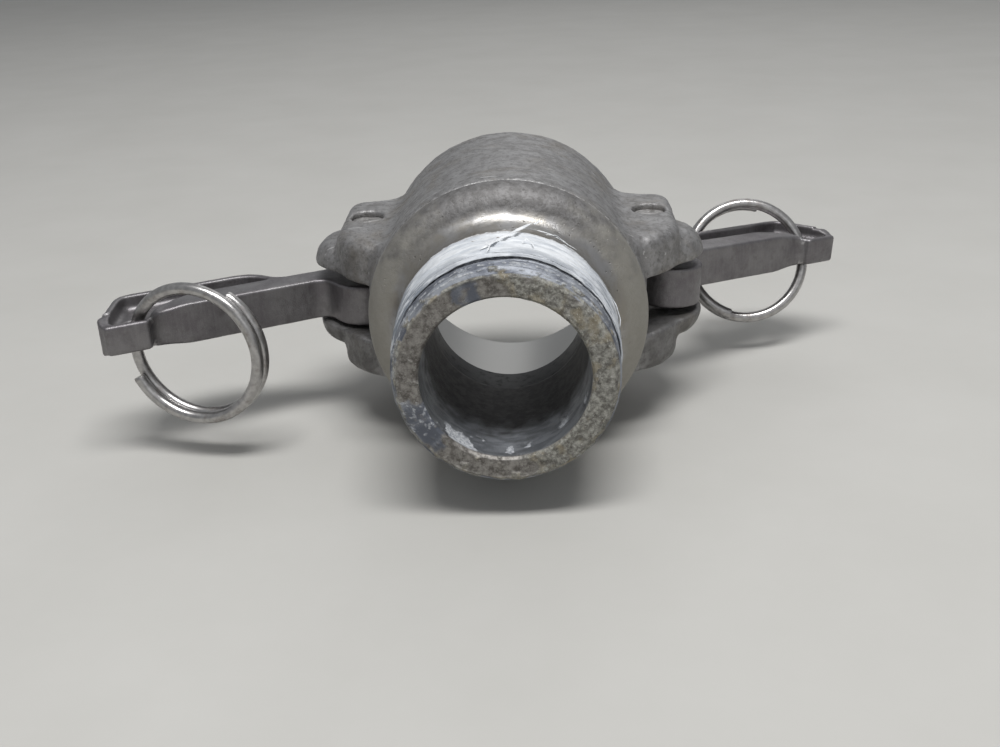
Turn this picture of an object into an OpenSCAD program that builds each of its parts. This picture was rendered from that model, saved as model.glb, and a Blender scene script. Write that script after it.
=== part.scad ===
// Cam and groove hose coupler: a female socket with two cam arms, and a male taper pipe thread.
// Millimetres. The coupler lies on its side. Its axis is Y, and the socket opens towards +Y.
// The origin is the middle of the socket mouth, and +Z is up, along the hinge pins.
// Depths called "from the thread end" are measured along +Y from the thread's end face.

/* [Coupler body] */
// Whole length, from the thread's end face to the socket mouth
body_length = 61; // [58:0.5:70]
// Outer radius of the cast cup round the socket
cup_radius = 22.5; // [22.5:0.1:23.5]
// Inner radius of the socket that takes the adapter
socket_radius = 18.7; // [18.5:0.1:19]
// Depth of the socket, from its mouth to the face of the gasket
socket_depth = 29.9; // [29:0.1:31]
// Radius of the flow bore through the thread
flow_bore_radius = 12.25; // [11:0.05:12.5]
// Depth from the thread end where the machined shoulder reaches its full width
shoulder_start = 21.2; // [20.5:0.1:22]
// Depth from the thread end where the machined shoulder meets the rough casting
shoulder_end = 25; // [24:0.1:26]

/* [Pipe thread] */
// Crest radius of the taper thread at its end face
thread_crest_radius = 16.35; // [16:0.05:16.6]
// Distance from one crest to the next
thread_pitch = 2.209; // [1.8:0.001:2.3]
// Depth of the thread groove
thread_depth = 1.35; // [0.8:0.05:1.6]
// Number of crests
thread_crests = 7; // [4:1:7]

/* [Hinge ears] */
// Distance of each hinge pin from the coupler's axis
pin_offset = 24; // [23.6:0.1:24.6]
// Depth of the pins from the thread end
pin_depth = 43; // [42:0.5:45]
// Radius of the hinge pins
pin_radius = 2.75; // [2.4:0.05:3]
// Gap between the two ears of a pair
ear_gap = 9.4; // [8.8:0.1:9.6]
// Height of the thick inner part of an ear above the coupler's axis
ear_height = 12.2; // [11:0.1:12.6]
// Height of the thin outer part of an ear above the coupler's axis
lug_height = 9.3; // [8:0.1:10]
// Radius of the rounded outer end of an ear, about its pin
lug_radius = 9.5; // [9:0.1:10]

/* [Cam arms] */
// Height of an arm, along its pin
arm_height = 7; // [6:0.1:7.2]
// Distance from the pin to the tip of the arm
arm_length = 45.8; // [40:0.2:48]
// Width of the hollowed handle, from its inner to its outer face
handle_width = 10.5; // [9.8:0.1:10.8]
// Thickness of the neck between the cam and the handle
neck_width = 5.2; // [4.6:0.1:5.2]
// Thickness of the web and the thin walls of the handle
wall = 1.3; // [1.1:0.1:1.6]
// Gap between a pin and its arm, on the radius
pin_clearance = 0.06; // [0.02:0.01:0.09]
// Swing of the left arm from straight out, towards the socket mouth
left_arm_swing = -28; // [-60:1:30]
// Swing of the right arm from straight out, towards the socket mouth
right_arm_swing = 35; // [-60:1:38]
// Height that the left arm has slid down its pin
left_arm_drop = 0.8; // [0:0.1:1]
// Angle that the right arm droops in its slot
right_arm_droop = 4.3; // [0:0.1:4.3]

/* [Pull rings] */
// Outer diameter of a pull ring
ring_diameter = 24; // [21:0.1:24.5]
// Diameter of the ring's wire
wire_diameter = 1.95; // [1.6:0.05:2]
// Angle of the left ring's centre about its hole, from straight out along the arm
left_ring_turn = -139; // [-165:1:-100]
// Angle of the right ring's centre about its hole, from straight out along the arm
right_ring_turn = 152; // [100:1:152]
// Angle that the left ring hangs down in its hole
left_ring_sag = 17; // [0:1:17]
// Angle that the right ring hangs down in its hole
right_ring_sag = 14; // [0:1:14]
// Angle that the right ring leans over, about the line from its hole to its centre
right_ring_lean = 24; // [0:1:24]

/* [Gasket and tape] */
// Thickness of the gasket
gasket_thickness = 6.35; // [6:0.05:6.5]
// Inner radius of the gasket
gasket_inner_radius = 12.4; // [12.3:0.1:14.5]
// Thickness of the sealing tape wound on the thread
tape_thickness = 0.3; // [0.2:0.05:0.4]

/* [Hidden] */
$fn = 96;

// Recess that holds the gasket behind the socket
recess_radius = 20;
recess_floor = body_length - socket_depth - gasket_thickness;
recess_spare = 0.15;

// Taper thread: the crest radius grows by 1 in 32 along the thread
thread_lead_in = 0.9;
face_radius = 15.5;
crest_flat = 0.35;
thread_end = thread_lead_in + thread_pitch * thread_crests;
fillet_radius = shoulder_start - thread_end - 0.6;
edge_chamfer = 0.9;
function crest_radius(depth) = thread_crest_radius + depth / 32;

// Cam arm, drawn about its pin with the handle along +X and its inner side towards -Y
barrel_radius = 5.2;
cam_radius = 5.8;
cam_centre = [2.2, -2.6];
cam_fillet = 2.5;
cam_fillet_end = 10.5;
neck_end = 15.2;
handle_start = 20.6;
block_length = 6.9;
block_rise = 1.8;
block_wall = 1;
block_height = 6;
block_slope = 2.5;
web_thickness = 2;
scoop_length = 6;
scoop_width = 2.1;
scoop_depth = 0.7;
ring_hole_radius = 2;
ring_hole = [arm_length - 5.2, 1.9];
ring_radius = (ring_diameter - wire_diameter) / 2;
ring_pitch = 2.06;
// Degrees of wire over the top and under the bottom, from the hole
left_ring_wire = [320, 255];
right_ring_wire = [239, 298];

// Windows in the cup wall, where the cams reach into the socket
window_start = 32.6;
window_end = 49.5;
cut = 1;

// Places a child that is drawn along +Z from the thread end on the coupler's axis
module along_axis() {
    translate([0, -body_length, 0]) rotate([-90, 0, 0]) children();
}

// Places a child that is drawn about the right hinge pin, mirrored for the left side
module at_hinge(side) {
    mirror([side < 0 ? 1 : 0, 0, 0]) translate([pin_offset, pin_depth - body_length, 0]) children();
}

// Outer outline of the body of revolution, as [radius, depth from the thread end]
function thread_outline() = [
    for (i = [0 : thread_crests - 1])
        let (
            start = thread_lead_in + i * thread_pitch,
            root = start + thread_pitch * 0.55
        )
        each [
            [crest_radius(start), start],
            [crest_radius(start) + 0.01, start + crest_flat],
            [crest_radius(root) - thread_depth, root],
            [crest_radius(root) - thread_depth + 0.01, root + crest_flat / 2]
        ]
];

module body_outline() {
    difference() {
        polygon(concat(
            [[flow_bore_radius, 0], [face_radius, 0]],
            thread_outline(),
            [
                [crest_radius(thread_end), thread_end],
                [crest_radius(thread_end), thread_end + 0.6],
                [crest_radius(thread_end) + fillet_radius, thread_end + 0.6],
                [crest_radius(thread_end) + fillet_radius, shoulder_start],
                [cup_radius - edge_chamfer, shoulder_start],
                [cup_radius - 0.1, shoulder_start + edge_chamfer],
                [cup_radius - 0.1, shoulder_end],
                [cup_radius, shoulder_end + 0.2],
                [cup_radius, body_length - edge_chamfer],
                [cup_radius - edge_chamfer, body_length],
                [socket_radius, body_length],
                [socket_radius, recess_floor + gasket_thickness + recess_spare],
                [recess_radius, recess_floor + gasket_thickness + recess_spare],
                [recess_radius, recess_floor],
                [flow_bore_radius, recess_floor]
            ]
        ));
        translate([crest_radius(thread_end) + fillet_radius, thread_end + 0.6])
            circle(r = fillet_radius);
    }
}

// Plan of one side's ears: X out from the axis, Y from the hinge pin
module ear_plan() {
    circle(r = lug_radius);
    polygon([
        [-pin_offset + 10, shoulder_end + 0.8 - pin_depth], [-4.5, -16.5], [1.5, -13.2],
        [4, -8.6], [4, 8.6], [-1, 10.6], [-5, 12.4], [-pin_offset + 10, 13.4]
    ]);
}

module ears(side) {
    inner_reach = 4.2;
    at_hinge(side) {
        difference() {
            translate([0, 0, -ear_height])
                linear_extrude(2 * ear_height) ear_plan();
            for (end = [0, 1])
                mirror([0, 0, end]) translate([inner_reach, -2 * lug_radius, lug_height])
                    cube([2 * lug_radius, 4 * lug_radius, ear_height]);
        }
    }
}

module coupler_body() {
    color("#8f8d8a") difference() {
        union() {
            along_axis() rotate_extrude() body_outline();
            difference() {
                union() {
                    ears(-1);
                    ears(1);
                }
                along_axis() translate([0, 0, shoulder_end])
                    cylinder(r = cup_radius - 1.2, h = body_length);
            }
        }
        for (side = [-1, 1]) at_hinge(side) {
            // Slot between the ears, outside the cup
            translate([cup_radius - pin_offset, -pin_depth, -ear_gap / 2])
                cube([2 * lug_radius, 2 * pin_depth, ear_gap]);
            // Window through the cup wall
            translate([socket_radius - pin_offset - 6, window_start - pin_depth, -ear_gap / 2])
                cube([12, window_end - window_start, ear_gap]);
            translate([0, 0, -ear_height - cut])
                cylinder(r = pin_radius, h = 2 * (ear_height + cut));
        }
    }
}

module gasket() {
    color("#1d1c1b") along_axis() translate([0, 0, recess_floor]) difference() {
        cylinder(r = recess_radius - recess_spare, h = gasket_thickness);
        translate([0, 0, -cut]) cylinder(r = gasket_inner_radius, h = gasket_thickness + 2 * cut);
    }
}

module thread_seal_tape() {
    tape_start = thread_lead_in + 2 * thread_pitch;
    color("#ecebe6") along_axis() rotate_extrude() polygon([
        [crest_radius(tape_start) + 0.02, tape_start],
        [crest_radius(tape_start) + 0.02 + tape_thickness, tape_start],
        [crest_radius(thread_end) + 0.02 + tape_thickness, thread_end],
        [crest_radius(thread_end) + 0.02, thread_end]
    ]);
}

module hinge_pin(side) {
    pin_length = 2 * ear_height - 0.6;
    color("#7f7d7b") at_hinge(side) translate([0, 0, -pin_length / 2])
        cylinder(r = pin_radius, h = pin_length);
}

// Full outline of the arm in plan
module arm_plan() {
    tip = arm_length;
    circle(r = barrel_radius);
    translate(cam_centre) circle(r = cam_radius);
    // Fillet from the cam to the inner face
    difference() {
        translate([3, -cam_fillet]) square([cam_fillet_end - 3, cam_fillet + 1]);
        translate([cam_fillet_end, -cam_fillet]) circle(r = cam_fillet);
    }
    // Neck and handle, with a slanted tip
    polygon([
        [0, 0], [tip, 0], [tip, 1], [tip - 2.4, 7], [tip - 3.5, handle_width - 0.9],
        [tip - 5.4, handle_width], [handle_start, handle_width],
        [handle_start - 2.6, handle_width - 1.2], [neck_end, neck_width], [0, neck_width]
    ]);
    // Block at the tip, standing proud of the inner face
    polygon([
        [tip - block_length - 2, 0], [tip - block_length, -block_rise],
        [tip, -block_rise], [tip, wall], [tip - block_length - 2, wall]
    ]);
}

// Hollow in the top or bottom of the handle. It widens towards the hole for the ring.
module pocket_plan() {
    tip = arm_length - block_wall;
    block = arm_length - block_length;
    far = handle_width - wall;
    polygon([
        [neck_end + 1.4, neck_width + 0.1], [block - 7.9, neck_width - 0.1],
        [block - 3.9, 2.7], [block - 1.3, wall], [block, block_wall - block_rise],
        [tip, block_wall - block_rise], [tip, 0.6], [tip - 2.35, 6.6], [tip - 3.4, far - 0.2],
        [tip - 4.6, far], [handle_start + 0.6, far], [handle_start - 1.6, far - 1]
    ]);
}

// Sloping cut along the inner edge of the arm's top, from its outer side to full height
module edge_slope(start, length, side, side_height, width) {
    half = arm_height / 2;
    translate([start, 0, 0]) rotate([90, 0, 90]) linear_extrude(length)
        polygon([
            [side - cut, side_height], [side, side_height], [width, half],
            [width, half + cut], [side - cut, half + cut]
        ]);
}

module arm_casting() {
    half = arm_height / 2;
    block = arm_length - block_length;
    difference() {
        translate([0, 0, -half]) linear_extrude(arm_height) arm_plan();
        for (end = [0, 1]) mirror([0, 0, end]) {
            translate([0, 0, web_thickness / 2]) linear_extrude(arm_height) pocket_plan();
            // Scoop beside the block, and the lower top of the block itself
            edge_slope(block - scoop_length, scoop_length, 0, half - scoop_depth, scoop_width);
            edge_slope(block, block_length + cut, -block_rise, block_height / 2, block_slope);
        }
        translate([ring_hole[0], ring_hole[1], -arm_height])
            cylinder(r = ring_hole_radius, h = 2 * arm_height);
    }
}

// An arm droops in its slot and slides down its pin. Its pin hole stays upright.
module cam_arm(side, swing, drop, droop) {
    color("#86848a") at_hinge(side) rotate([0, 0, swing]) translate([0, 0, -drop])
        difference() {
            rotate([0, droop, 0]) arm_casting();
            translate([0, 0, -arm_height])
                cylinder(r = pin_radius + pin_clearance, h = 2 * arm_height);
        }
}

// Split ring: a wire that passes upright through the hole at the origin, and winds on past
// itself both over the top and under the bottom. Its centre lies towards +X.
module ring_shape(over_top, under_bottom) {
    sides = 8;
    steps = 64;
    function middle(a) = [ring_radius * (1 - cos(a)), ring_pitch * a / 360, ring_radius * sin(a)];
    function outward(a) = [-cos(a), 0, sin(a)];
    points = [
        for (i = [0 : steps], j = [0 : sides - 1])
            let (
                a = -under_bottom + (over_top + under_bottom) * i / steps,
                b = 360 * j / sides
            )
            middle(a) + wire_diameter / 2 * (cos(b) * outward(a) + sin(b) * [0, 1, 0])
    ];
    walls = [
        for (i = [0 : steps - 1], j = [0 : sides - 1])
            let (
                near = i * sides + j,
                next = i * sides + (j + 1) % sides
            )
            each [[near, next + sides, near + sides], [near, next, next + sides]]
    ];
    ends = [
        [for (j = [sides - 1 : -1 : 0]) j],
        [for (j = [0 : sides - 1]) steps * sides + j]
    ];
    polyhedron(points = points, faces = concat(walls, ends));
}

// Places a ring on its arm, swung about the hole in the web
module pull_ring(side, arm, turn, hang, wire) {
    color("#a9a7a4") at_hinge(side) rotate([0, 0, arm[0]]) translate([0, 0, -arm[1]])
        rotate([0, arm[2], 0]) translate([ring_hole[0], ring_hole[1], 0])
            rotate([0, 0, turn]) rotate([0, hang[0], 0]) rotate([hang[1], 0, 0])
                ring_shape(wire[0], wire[1]);
}

coupler_body();
gasket();
thread_seal_tape();
hinge_pin(-1);  // left_hinge_pin
hinge_pin(1);  // right_hinge_pin
cam_arm(-1, left_arm_swing, left_arm_drop, 0);  // left_cam_arm
cam_arm(1, right_arm_swing, 0, right_arm_droop);  // right_cam_arm
pull_ring(-1, [left_arm_swing, left_arm_drop, 0], left_ring_turn, [left_ring_sag, 0],  // left_pull_ring
        left_ring_wire);
pull_ring(1, [right_arm_swing, 0, right_arm_droop], right_ring_turn,  // right_pull_ring
        [right_ring_sag, right_ring_lean], right_ring_wire);
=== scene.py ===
"""A used 1 inch cam and groove hose coupler on a pale floor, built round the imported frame.

Shapes are worked out in millimetres in the frame's own axes and scaled to metres at the end.
"Depth" is measured along +Y from the end face of the thread.
"""
import math

import bmesh
import bpy
import numpy as np
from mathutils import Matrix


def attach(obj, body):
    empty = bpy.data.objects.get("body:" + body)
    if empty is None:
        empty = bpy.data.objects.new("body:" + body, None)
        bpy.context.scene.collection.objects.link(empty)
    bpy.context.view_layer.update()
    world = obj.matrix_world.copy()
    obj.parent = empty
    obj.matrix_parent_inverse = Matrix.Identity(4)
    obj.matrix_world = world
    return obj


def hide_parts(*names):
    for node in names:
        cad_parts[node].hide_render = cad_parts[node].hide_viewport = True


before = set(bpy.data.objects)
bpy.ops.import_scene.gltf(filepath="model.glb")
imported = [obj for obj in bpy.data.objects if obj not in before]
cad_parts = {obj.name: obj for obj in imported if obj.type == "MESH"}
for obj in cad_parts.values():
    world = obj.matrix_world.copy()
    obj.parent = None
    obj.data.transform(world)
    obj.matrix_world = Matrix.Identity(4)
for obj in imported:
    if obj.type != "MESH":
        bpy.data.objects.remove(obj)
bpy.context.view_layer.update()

import openvdb
from mathutils import Matrix, Vector

MM = 0.001

# Body
BODY_LENGTH = 61.0
CUP_RADIUS = 22.5
SOCKET_RADIUS = 18.7
RECESS_RADIUS = 20.0
RECESS_FLOOR = 24.75
RECESS_END = 31.25
GASKET_END = 31.1
BORE_RADIUS = 12.25
CREASE = 25.0
CUP_START = 24.94
PIN_OFFSET = 24.0
PIN_DEPTH = 43.0
PIN_RADIUS = 2.75
SLOT_HALF = 4.7
LUG_RADIUS = 9.5
LUG_HEIGHT = 9.3
WINDOW_START, WINDOW_END = 32.6, 49.5
WINDOW_REACH = 12.7
SHOULDER_START = 21.2

# Thread
FACE_RADIUS = 15.55
BARE_THREAD_END = 6.5
CREST_RADIUS = 16.35
PITCH = 2.209
THREAD_DEPTH = 0.95
VALLEY_PHASE = 0.55
LEAD_IN = 0.9
THREAD_END = LEAD_IN + 7 * PITCH
THREAD_RUN_OUT = 0.6
FILLET_RADIUS = SHOULDER_START - THREAD_END - THREAD_RUN_OUT

# Arms and rings
ARM_LENGTH = 45.8
ARM_HALF = 3.5
WEB_HALF = 1.0
BLOCK_LENGTH = 6.9
BARREL_RADIUS = 5.2
CAM_CENTRE = (2.2, -2.6)
CAM_RADIUS = 5.8
PIN_CLEARANCE = 0.06
RING_HOLE = (40.6, 1.9)
RING_HOLE_RADIUS = 2.0
RING_RADIUS = 11.025
RING_PITCH = 2.06
WIRE_RADIUS = 0.975


# ---------------------------------------------------------------- camera, floor and lights

def make_camera():
    """Looks down along the axis at the thread end, from close by, with a slight turn and roll."""
    lens, sensor_width = 40.59, 36.0
    distance = 157.86
    elevation, yaw, roll = (math.radians(a) for a in (23.55, 1.28, 1.97))
    aim = (0.756, -1.022)  # from the view's middle to the centre of the thread's end face
    right = Vector((1, 0, 0))
    ahead = Vector((0, math.cos(elevation), -math.sin(elevation)))
    up = Vector((0, math.sin(elevation), math.cos(elevation)))
    place = -aim[0] * right - aim[1] * up - distance * ahead

    def settle(v):
        v = Matrix.Rotation(roll, 3, "Y") @ v
        return Matrix.Rotation(yaw, 3, "Z") @ v

    right, up, ahead, place = (settle(v) for v in (right, up, ahead, place))
    place = (place - Vector((0, BODY_LENGTH, 0))) * MM
    data = bpy.data.cameras.new("photo_camera")
    data.sensor_width = sensor_width
    data.lens = lens
    data.clip_start = 0.005
    data.clip_end = 30
    camera = bpy.data.objects.new("photo_camera", data)
    bpy.context.scene.collection.objects.link(camera)
    turn = Matrix((right, up, -ahead)).transposed().to_4x4()
    camera.matrix_world = Matrix.Translation(place) @ turn
    bpy.context.scene.camera = camera


def area_light(name, place, size, energy):
    """A soft rectangular light that faces the middle of the body."""
    target = (0, -0.03, 0)
    data = bpy.data.lights.new(name, "AREA")
    data.shape = "RECTANGLE"
    data.size, data.size_y = size
    data.energy = energy
    light = bpy.data.objects.new(name, data)
    bpy.context.scene.collection.objects.link(light)
    light.location = place
    light.rotation_euler = (Vector(target) - Vector(place)).to_track_quat("-Z", "Y").to_euler()


def make_lights():
    """A ceiling light over the thread end, a weaker one behind and a faint one in front."""
    area_light("ceiling", (0.03, -0.22, 0.62), (0.42, 0.16), 4.4)
    area_light("window", (0.1, 0.55, 0.5), (0.5, 0.5), 0.7)
    area_light("front_fill", (0.25, -0.6, 0.3), (0.5, 0.3), 0.22)
    world = bpy.data.worlds.new("soft_room")
    world.use_nodes = True
    background = world.node_tree.nodes["Background"]
    background.inputs["Color"].default_value = (0.94, 0.965, 1.0, 1)
    background.inputs["Strength"].default_value = 0.34
    bpy.context.scene.world = world
    bpy.context.scene.view_settings.view_transform = "Standard"


# ---------------------------------------------------------------- noise and distance fields

NOISE_CELLS = 48
NOISE_TABLE = np.random.default_rng(11).uniform(-1, 1, (NOISE_CELLS,) * 3).astype(np.float32)


def noise(p, size, shift=0):
    """Smooth value noise from -1 to 1 at points p, with lattice cells of the given size."""
    q = p / size + 7.3 * shift + 100
    cell = np.floor(q).astype(int)
    f = q - cell
    f = f * f * (3 - 2 * f)
    total = 0
    for dx in (0, 1):
        for dy in (0, 1):
            for dz in (0, 1):
                corner = (cell + (dx, dy, dz)) % NOISE_CELLS
                w = np.abs(1 - dx - f[:, 0]) * np.abs(1 - dy - f[:, 1]) * np.abs(1 - dz - f[:, 2])
                total = total + w * NOISE_TABLE[corner[:, 0], corner[:, 1], corner[:, 2]]
    return total


def rough_noise(p, size, octaves, shift=0):
    total, share = 0, 1.0
    for i in range(octaves):
        total = total + share * noise(p, size * 0.5 ** i, shift + i)
        share *= 0.55
    return total


def both(a, b, blend=0.0):
    """Where both shapes are, with the edge rounded over the blend."""
    if blend == 0:
        return np.maximum(a, b)
    h = np.maximum(blend - np.abs(a - b), 0) / blend
    return np.maximum(a, b) + h * h * blend / 4


def either(a, b, blend=0.0):
    return -both(-a, -b, blend)


def without(a, b, blend=0.0):
    return both(a, -b, blend)


def polygon_distance(points, x, y):
    """Signed distance to a closed polygon in plan."""
    points = np.array(points, float)
    nearest = np.inf
    inside = np.zeros(np.broadcast(x, y).shape, bool)
    for a, b in zip(points, np.roll(points, -1, axis=0)):
        e = b - a
        wx, wy = x - a[0], y - a[1]
        t = np.clip((wx * e[0] + wy * e[1]) / (e @ e), 0, 1)
        nearest = np.minimum(nearest, (wx - e[0] * t) ** 2 + (wy - e[1] * t) ** 2)
        if a[1] != b[1]:
            crosses = ((a[1] > y) != (b[1] > y)) & (x < e[0] * (y - a[1]) / e[1] + a[0])
            inside = inside ^ crosses
    return np.where(inside, -1, 1) * np.sqrt(nearest)


def rounded_corners(points, cut):
    """Cuts each corner of a polygon twice, so that it reads as a small radius."""
    for share in (1.0, 0.42):
        result = []
        for i, b in enumerate(np.array(points, float)):
            a, c = np.array(points[i - 1], float), np.array(points[(i + 1) % len(points)], float)
            for other in (a, c):
                reach = np.linalg.norm(other - b)
                result.append(b + (other - b) / reach * min(cut * share, reach * 0.42))
        points = result
    return points


def smooth_step(low, high, v):
    """0 at low and 1 at high, smooth between; low may be above high."""
    t = np.clip((v - low) / (high - low), 0, 1)
    return t * t * (3 - 2 * t)


def mesh_field(field, low, high, cell, reach):
    """Points and quads of the surface where the field is zero, and how it bends there."""
    axes = [np.arange(a - 2 * cell, b + 3 * cell, cell) for a, b in zip(low, high)]
    values = field(*np.meshgrid(*axes, indexing="ij", sparse=True))
    grid = openvdb.FloatGrid(3.0)
    grid.copyFromArray(np.ascontiguousarray(values, dtype=np.float32))
    points, quads = grid.convertToQuads(0.0)
    points = points.astype(float) * cell + [a[0] for a in axes]

    def at(p):
        return field(p[:, 0], p[:, 1], p[:, 2])

    def slope(p, step):
        return np.stack([(at(p + d) - at(p - d)) / (2 * step) for d in np.eye(3) * step], 1)

    for _ in range(2):
        g = slope(points, 0.03)
        points -= g * (at(points) / np.maximum((g * g).sum(1), 0.2))[:, None]
    g = slope(points, 0.12)
    steep = np.linalg.norm(g, axis=1)
    normals = g / steep[:, None]
    steep = np.clip(steep, 0.6, 1)
    bulge = np.clip(at(points - reach * normals) / (reach * steep) + 1, 0, 1)
    hollow = np.clip(1 - at(points + reach * normals) / (reach * steep), 0, 1)
    return points, quads.astype(int), normals, bulge, hollow


# ---------------------------------------------------------------- mesh helpers

def add_mesh(name, points, faces, masks=None, sharp=None):
    """Makes an object from points in millimetres. Masks are named numbers per point."""
    mesh = bpy.data.meshes.new(name)
    mesh.from_pydata((np.asarray(points) * MM).tolist(), [], [list(f) for f in faces])
    mesh.validate()
    for key, values in (masks or {}).items():
        layer = mesh.attributes.new(key, "FLOAT", "POINT")
        layer.data.foreach_set("value", np.asarray(values, dtype=np.float32))
    mesh.shade_smooth()
    if sharp:
        mesh.set_sharp_from_angle(angle=math.radians(sharp))
    obj = bpy.data.objects.new(name, mesh)
    bpy.context.scene.collection.objects.link(obj)
    return obj


def outward(points, quads):
    """Turns the faces so that the closed surface has a positive volume."""
    a, b, c = (points[quads[:, i]] for i in (0, 1, 2))
    d = points[quads[:, -1]]
    volume = (np.cross(b, c) * a).sum() + (np.cross(c, d) * a).sum()
    return quads if volume > 0 else quads[:, ::-1]


def grid_faces(rows, columns, close_rows=False, close_columns=True):
    """Quads of a grid of points laid out row by row."""
    last_row = rows if close_rows else rows - 1
    last_column = columns if close_columns else columns - 1
    i, j = np.meshgrid(np.arange(last_row), np.arange(last_column), indexing="ij")
    i, j = i.ravel(), j.ravel()
    i2, j2 = (i + 1) % rows, (j + 1) % columns
    return np.stack([i * columns + j, i * columns + j2, i2 * columns + j2, i2 * columns + j], 1)


def lathe(outline, steps, axis="Y"):
    """Points of a closed outline, as [radius, depth], turned about the coupler's axis."""
    outline = np.array(outline, float)
    angle = np.arange(steps) * 2 * math.pi / steps
    r, s = outline[:, :1], outline[:, 1:]
    across, up = r * np.cos(angle), r * np.sin(angle)
    along = np.broadcast_to(s, across.shape)
    if axis == "Y":
        points = np.stack([across, along - BODY_LENGTH, up], -1)
    else:
        points = np.stack([across, up, along], -1)
    return points.reshape(-1, 3)


def arc(centre, radius, start, end, count):
    """Points on an arc, from the start angle to the end angle in degrees."""
    a = np.radians(np.linspace(start, end, count))
    return [(centre[0] + radius * math.cos(t), centre[1] + radius * math.sin(t)) for t in a]


def line(a, b, step):
    """Points from a towards b, about a step apart, without b itself."""
    count = max(1, round(math.dist(a, b) / step))
    return [tuple(np.array(a) + (np.array(b) - a) * i / count) for i in range(count)]


# ---------------------------------------------------------------- materials

class Shader:
    """A short way to wire nodes into a Principled material."""

    def __init__(self, name, metallic):
        self.material = bpy.data.materials.new(name)
        self.material.use_nodes = True
        self.tree = self.material.node_tree
        self.surface = self.tree.nodes["Principled BSDF"]
        self.surface.inputs["Metallic"].default_value = metallic
        self.place = self.make("ShaderNodeTexCoord").outputs["Object"]

    def make(self, kind, **settings):
        node = self.tree.nodes.new(kind)
        for key, value in settings.items():
            setattr(node, key, value)
        return node

    def feed(self, socket, value):
        if isinstance(value, bpy.types.NodeSocket):
            self.tree.links.new(value, socket)
        elif isinstance(value, tuple) and len(value) == 3 and socket.type == "RGBA":
            socket.default_value = (*value, 1)
        else:
            socket.default_value = value

    def math(self, operation, a, b, clamp=False):
        node = self.make("ShaderNodeMath", operation=operation, use_clamp=clamp)
        self.feed(node.inputs[0], a)
        self.feed(node.inputs[1], b)
        return node.outputs[0]

    def times(self, a, b):
        return self.math("MULTIPLY", a, b)

    def clamped(self, a, b):
        """The product of a and b, kept between 0 and 1."""
        return self.math("MULTIPLY", a, b, True)

    def either(self, a, b):
        """The larger of a and b."""
        return self.math("MAXIMUM", a, b)

    def plus(self, a, b):
        return self.math("ADD", a, b)

    def noise(self, size_mm, detail=4.0, roughness=0.55, stretch=None, twist=0.0):
        node = self.make("ShaderNodeTexNoise")
        node.inputs["Scale"].default_value = 1 / (size_mm * MM)
        node.inputs["Detail"].default_value = detail
        node.inputs["Roughness"].default_value = roughness
        node.inputs["Distortion"].default_value = twist
        self.tree.links.new(self.stretched(stretch), node.inputs["Vector"])
        return node.outputs["Fac"]

    def stretched(self, stretch):
        if stretch is None:
            return self.place
        node = self.make("ShaderNodeMapping")
        node.inputs["Scale"].default_value = stretch
        self.tree.links.new(self.place, node.inputs["Vector"])
        return node.outputs["Vector"]

    def cells(self, size_mm):
        node = self.make("ShaderNodeTexVoronoi")
        node.inputs["Scale"].default_value = 1 / (size_mm * MM)
        self.tree.links.new(self.place, node.inputs["Vector"])
        return node.outputs["Distance"]

    def steps(self, value, low, high):
        """0 below low, 1 above high, smooth between; low may be above high."""
        node = self.make("ShaderNodeMapRange", interpolation_type="SMOOTHSTEP")
        self.feed(node.inputs["Value"], value)
        if low < high:
            node.inputs["From Min"].default_value = low
            node.inputs["From Max"].default_value = high
        else:
            node.inputs["From Min"].default_value = high
            node.inputs["From Max"].default_value = low
            node.inputs["To Min"].default_value = 1
            node.inputs["To Max"].default_value = 0
        return node.outputs["Result"]

    def mask(self, name):
        return self.make("ShaderNodeAttribute", attribute_name=name).outputs["Fac"]

    def blend(self, share, a, b):
        """A colour that goes from a to b with the share."""
        node = self.make("ShaderNodeMix", data_type="RGBA")
        self.feed(node.inputs[0], share)
        self.feed(node.inputs[6], a)
        self.feed(node.inputs[7], b)
        return node.outputs[2]

    def level(self, share, a, b):
        """A plain number that goes from a to b with the share."""
        node = self.make("ShaderNodeMix", data_type="FLOAT")
        self.feed(node.inputs[0], share)
        self.feed(node.inputs[2], a)
        self.feed(node.inputs[3], b)
        return node.outputs[0]

    def finish(self, colour, roughness, heights):
        """Heights are pairs of a height from 0 to 1 and its size in millimetres."""
        self.feed(self.surface.inputs["Base Color"], colour)
        self.feed(self.surface.inputs["Roughness"], roughness)
        normal = None
        for height, size in heights:
            bump = self.make("ShaderNodeBump")
            bump.inputs["Strength"].default_value = 1
            bump.inputs["Distance"].default_value = size * MM
            self.feed(bump.inputs["Height"], height)
            if normal is not None:
                self.tree.links.new(normal, bump.inputs["Normal"])
            normal = bump.outputs["Normal"]
        if normal is not None:
            self.tree.links.new(normal, self.surface.inputs["Normal"])
        return self.material


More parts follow.
